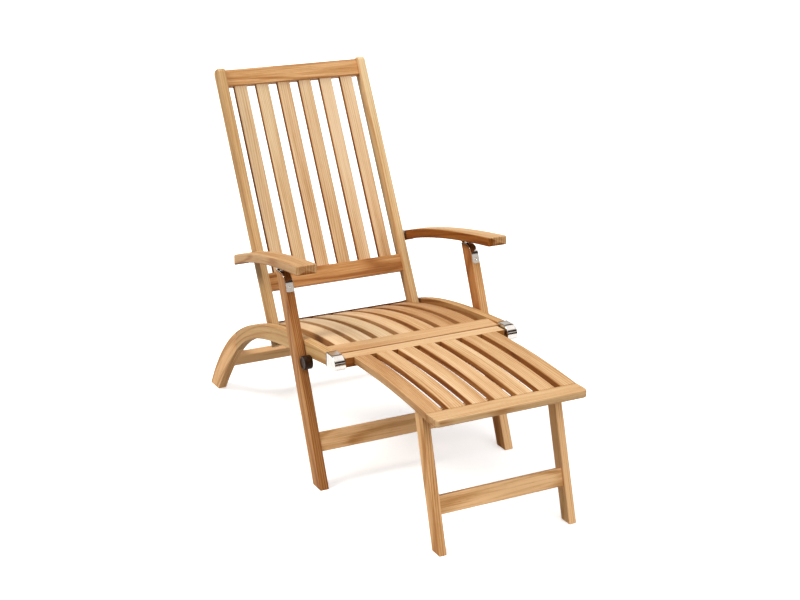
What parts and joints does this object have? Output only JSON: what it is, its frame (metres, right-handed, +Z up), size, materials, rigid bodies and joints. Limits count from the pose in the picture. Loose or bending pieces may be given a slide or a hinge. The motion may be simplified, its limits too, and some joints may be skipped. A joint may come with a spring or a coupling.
{
  "type": "steamer deck chair",
  "caption": "Folding teak steamer deck chair with slatted back, slatted seat, curved arms and a hinged slatted footrest on its own legs.",
  "frame": {"origin": "on the floor, midway between the two sides and midway between the front of the footrest and the rear feet", "axes": "+X to the right hand side of the chair seen from the front, -Y towards the footrest, +Z up"},
  "size_m": [0.6348, 1.371, 0.9991],
  "materials": {
    "pale_teak": "satin",
    "teak": "satin",
    "red_teak": "satin",
    "steel": "polished",
    "dark_stop": "satin"
  },
  "bodies": {
    "seat_frame": {"side_rail_left": "teak", "side_rail_right": "teak", "rear_leg_left": "teak", "rear_leg_right": "teak", "rear_stretcher": "red_teak", "seat_front_rail": "pale_teak", "seat_bearer": "teak", "seat_rear_batten": "teak", "seat_slat_1": "pale_teak", "seat_slat_2": "pale_teak", "seat_slat_3": "pale_teak", "seat_slat_4": "pale_teak", "seat_slat_5": "pale_teak", "seat_slat_6": "pale_teak", "seat_slat_7": "pale_teak", "rail_cap_left": "steel", "rail_cap_right": "steel", "leg_stop_left": "dark_stop", "leg_stop_right": "dark_stop"},
    "backrest": {"stile_left": "teak", "stile_right": "teak", "back_top_rail": "red_teak", "back_bottom_rail": "red_teak", "back_slat_1": "pale_teak", "back_slat_2": "pale_teak", "back_slat_3": "pale_teak", "back_slat_4": "pale_teak", "back_slat_5": "pale_teak", "back_slat_6": "pale_teak", "back_pin_left": "steel", "back_pin_right": "steel"},
    "arm_left": {"arm_left": "pale_teak", "arm_leaf_left": "steel", "arm_pin_left": "steel"},
    "arm_right": {"arm_right": "pale_teak", "arm_leaf_right": "steel", "arm_pin_right": "steel"},
    "front_legs": {"front_leg_left": "red_teak", "front_leg_right": "red_teak", "front_leg_stretcher": "red_teak", "post_strap_left": "steel", "post_strap_right": "steel", "leg_pin_left": "steel", "leg_pin_right": "steel"},
    "footrest": {"footrest_stile_left": "pale_teak", "footrest_stile_right": "pale_teak", "footrest_slat_1": "pale_teak", "footrest_slat_2": "pale_teak", "footrest_slat_3": "pale_teak", "footrest_slat_4": "pale_teak", "footrest_slat_5": "pale_teak", "footrest_front_rail": "pale_teak", "footrest_rear_rail": "pale_teak", "footrest_pin_left": "steel", "footrest_pin_right": "steel"},
    "footrest_legs": {"footrest_leg_left": "red_teak", "footrest_leg_right": "red_teak", "footrest_leg_stretcher": "red_teak", "footrest_leg_rod": "steel"}
  },
  "joints": [
    {"name": "back_fold", "type": "hinge", "parent": "seat_frame", "child": "backrest", "pos_m": [0, 0.2625, 0.3], "axis": [1, 0, 0], "range_deg": [0, 86]},
    {"name": "leg_fold", "type": "hinge", "parent": "seat_frame", "child": "front_legs", "pos_m": [0, -0.0375, 0.3496], "axis": [1, 0, 0], "range_deg": [0, 86]},
    {"name": "arm_left_fold", "type": "hinge", "parent": "backrest", "child": "arm_left", "pos_m": [0, 0.3615, 0.499], "axis": [1, 0, 0], "range_deg": [-86, 0]},
    {"name": "arm_right_fold", "type": "hinge", "parent": "backrest", "child": "arm_right", "pos_m": [0, 0.3615, 0.499], "axis": [1, 0, 0], "range_deg": [-86, 0]},
    {"name": "footrest_fold", "type": "hinge", "parent": "seat_frame", "child": "footrest", "pos_m": [0, -0.2255, 0.369], "axis": [1, 0, 0], "range_deg": [-40, 46]},
    {"name": "footrest_leg_fold", "type": "hinge", "parent": "footrest", "child": "footrest_legs", "pos_m": [0, -0.56545, 0.33031], "axis": [1, 0, 0], "range_deg": [0, 92]}
  ],
  "couplings": [
    {"joint": "leg_fold", "follows": "back_fold", "ratio": 1},
    {"joint": "arm_left_fold", "follows": "back_fold", "ratio": -1},
    {"joint": "arm_right_fold", "follows": "back_fold", "ratio": -1}
  ]
}
